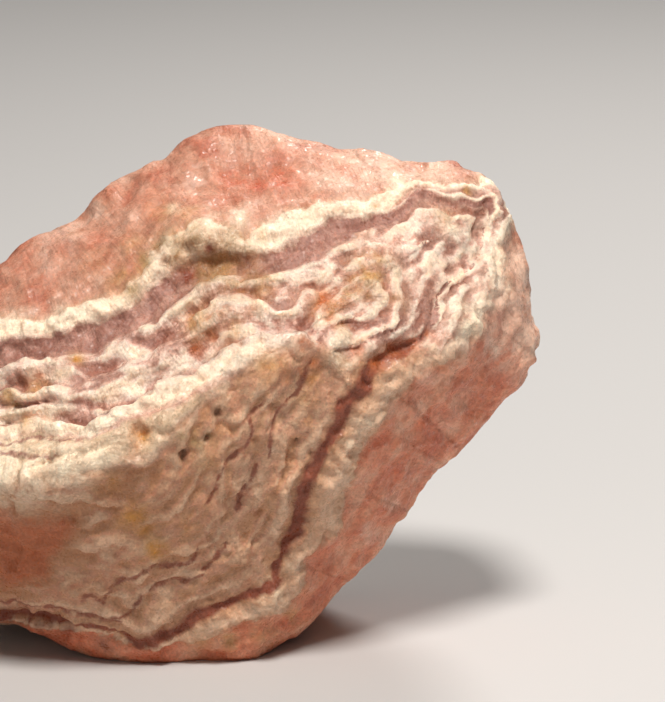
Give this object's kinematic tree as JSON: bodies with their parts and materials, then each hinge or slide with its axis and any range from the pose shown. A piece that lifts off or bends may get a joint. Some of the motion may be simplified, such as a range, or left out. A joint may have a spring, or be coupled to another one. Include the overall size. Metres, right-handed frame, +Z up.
{
  "type": "rhodochrosite slice",
  "caption": "Thick slice of banded pink and cream rhodochrosite, broken in ledges on its front and sawn flat on its back.",
  "frame": {"origin": "on the flat that the stone rests on, under its thickest part", "axes": "+X along the stone's length, towards its pink point; +Y out of the sawn back; +Z up"},
  "size_m": [0.0661, 0.0319, 0.0483],
  "materials": {
    "banded_stone": "broken crystalline carbonate, softly shining, in pink, cream and mauve bands"
  },
  "bodies": {
    "root": {"rhodochrosite_slice": "banded_stone"}
  },
  "joints": []
}
